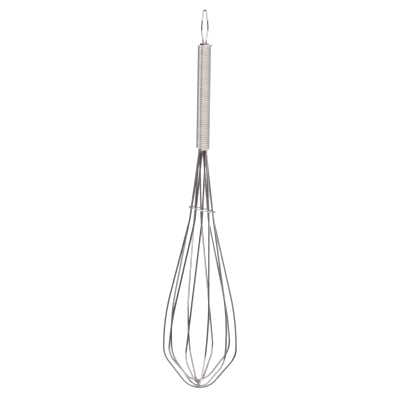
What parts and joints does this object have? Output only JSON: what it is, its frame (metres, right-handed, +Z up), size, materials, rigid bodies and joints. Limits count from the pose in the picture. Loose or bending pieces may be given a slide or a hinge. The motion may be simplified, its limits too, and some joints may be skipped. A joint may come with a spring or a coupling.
{
  "type": "balloon whisk",
  "caption": "Balloon whisk of bent wire loops held by a welded spreader ring, with a close-wound wire handle and a hanging eye.",
  "frame": {"origin": "inside the top of the hanging eye, where a hook bears", "axes": "+Z up along the handle's axis, away from the balloon; +Y through the hanging eye, along the hook; +X across the eye"},
  "size_m": [0.059, 0.0576, 0.3],
  "materials": {
    "whisk_wire": "bright drawn wire, plated",
    "ring_wire": "bright thin wire, tack welded",
    "handle_wire": "bright wire, close wound",
    "eye_wire": "bright bent wire"
  },
  "bodies": {
    "root": {"whisk_loop_1": "whisk_wire", "whisk_loop_2": "whisk_wire", "whisk_loop_3": "whisk_wire", "whisk_loop_4": "whisk_wire", "whisk_loop_5": "whisk_wire", "spreader_ring": "ring_wire", "handle_coil": "handle_wire", "hanging_loop": "eye_wire"}
  },
  "joints": []
}
